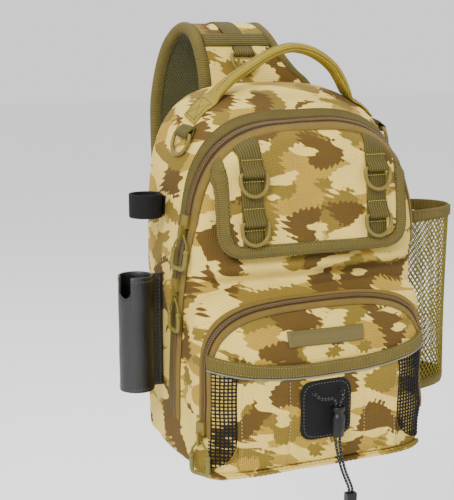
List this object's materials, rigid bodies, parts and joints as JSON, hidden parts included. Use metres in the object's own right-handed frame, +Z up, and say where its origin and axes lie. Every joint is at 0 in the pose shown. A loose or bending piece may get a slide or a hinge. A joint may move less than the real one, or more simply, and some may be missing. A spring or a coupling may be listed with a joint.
{
  "type": "fishing tackle sling bag",
  "caption": "Camouflage tackle sling bag with one wide shoulder strap, bulging front pocket, mesh tool pocket, net bottle pocket and rod sleeve.",
  "frame": {"origin": "underside of the shoulder strap's crown, where the bag rests on a shoulder", "axes": "+X to the right of the bag seen from its front, +Y from the front pocket to the back panel, +Z up"},
  "size_m": [0.4237, 0.3393, 0.5406],
  "materials": {
    "camo": null,
    "olive_webbing": "ribbed nylon webbing and binding",
    "zip_tape": "woven zip tape with a dark coil",
    "handle_webbing": "rolled nylon webbing",
    "lining": "padded air mesh",
    "black_mesh": "open black mesh and woven tape",
    "net": "olive net and folded elastic",
    "black_vinyl": "smooth coated cloth",
    "olive_plastic": "moulded olive acetal",
    "olive_cord": "braided cord",
    "label_rubber": "blank moulded rubber",
    "black_plastic": "moulded black plastic",
    "black_bungee": "braided elastic cord with pale flecks"
  },
  "bodies": {
    "bag": {"main_shell": "camo", "front_panel": "camo", "main_zip": "zip_tape", "gusset_band": "olive_webbing", "upper_flap": "camo", "flap_binding": "olive_webbing", "upper_pocket": "camo", "webbing_strip_left": "olive_webbing", "webbing_strip_right": "olive_webbing", "side_tab_left": "olive_webbing", "side_tab_right": "olive_webbing", "front_pocket": "camo", "front_pocket_zip": "zip_tape", "tool_pocket": "camo", "mesh_left": "black_mesh", "mesh_right": "black_mesh", "pocket_band": "olive_webbing", "blank_label": "label_rubber", "base_piping": "camo", "pliers_patch": "black_mesh", "cord_lock": "black_plastic", "cord_end": "black_plastic", "bungee_loop_left": "black_bungee", "bungee_tail_left": "black_bungee", "bungee_loop_right": "black_bungee", "bungee_tail_right": "black_bungee", "carry_handle": "handle_webbing", "strap_lining": "lining", "strap_pad": "camo", "strap_binding_left": "olive_webbing", "strap_binding_right": "olive_webbing", "strap_webbing": "olive_webbing", "strap_ring_loop": "camo", "lower_webbing": "olive_webbing", "strap_buckle": "black_plastic", "strap_anchor": "camo", "back_pad": "lining", "bottle_net": "net", "bottle_rim": "net", "bottle_floor": "net", "rod_sleeve": "black_vinyl", "rod_strap": "black_mesh", "slider_front": "olive_plastic", "cord_front": "olive_cord", "pull_front": "olive_plastic", "slider_upper": "olive_plastic", "cord_upper": "olive_cord", "pull_upper": "olive_plastic", "slider_lower": "olive_plastic", "cord_lower": "olive_cord", "pull_lower": "olive_plastic"},
    "ring_upper_left": {"ring_upper_left": "olive_plastic"},
    "ring_lower_left": {"ring_lower_left": "olive_plastic"},
    "ring_upper_right": {"ring_upper_right": "olive_plastic"},
    "ring_lower_right": {"ring_lower_right": "olive_plastic"},
    "ring_side_left": {"ring_side_left": "olive_plastic"},
    "ring_side_right": {"ring_side_right": "olive_plastic"},
    "ring_strap": {"ring_strap": "olive_plastic"}
  },
  "joints": [
    {"name": "ring_upper_left_swing", "type": "hinge", "parent": "bag", "child": "ring_upper_left", "pos_m": [-0.054, -0.22255, -0.14675], "axis": [-1, 0, 0], "range_deg": [0, 150]},
    {"name": "ring_lower_left_swing", "type": "hinge", "parent": "bag", "child": "ring_lower_left", "pos_m": [-0.054, -0.2281, -0.19816], "axis": [-1, 0, 0], "range_deg": [0, 150]},
    {"name": "ring_upper_right_swing", "type": "hinge", "parent": "bag", "child": "ring_upper_right", "pos_m": [0.096, -0.22255, -0.14676], "axis": [-1, 0, 0], "range_deg": [0, 150]},
    {"name": "ring_lower_right_swing", "type": "hinge", "parent": "bag", "child": "ring_lower_right", "pos_m": [0.096, -0.2281, -0.19816], "axis": [-1, 0, 0], "range_deg": [0, 150]},
    {"name": "ring_side_left_swing", "type": "hinge", "parent": "bag", "child": "ring_side_left", "pos_m": [-0.1032, -0.14291, -0.10881], "axis": [-0.1753, 0.9816, 0.0756], "range_deg": [0, 120]},
    {"name": "ring_side_right_swing", "type": "hinge", "parent": "bag", "child": "ring_side_right", "pos_m": [0.14509, -0.14294, -0.10895], "axis": [-0.1803, -0.9805, -0.0777], "range_deg": [0, 120]},
    {"name": "ring_strap_swing", "type": "hinge", "parent": "bag", "child": "ring_strap", "pos_m": [0.00877, -0.05334, -0.02456], "axis": [-1, 0, 0], "range_deg": [0, 150]}
  ]
}
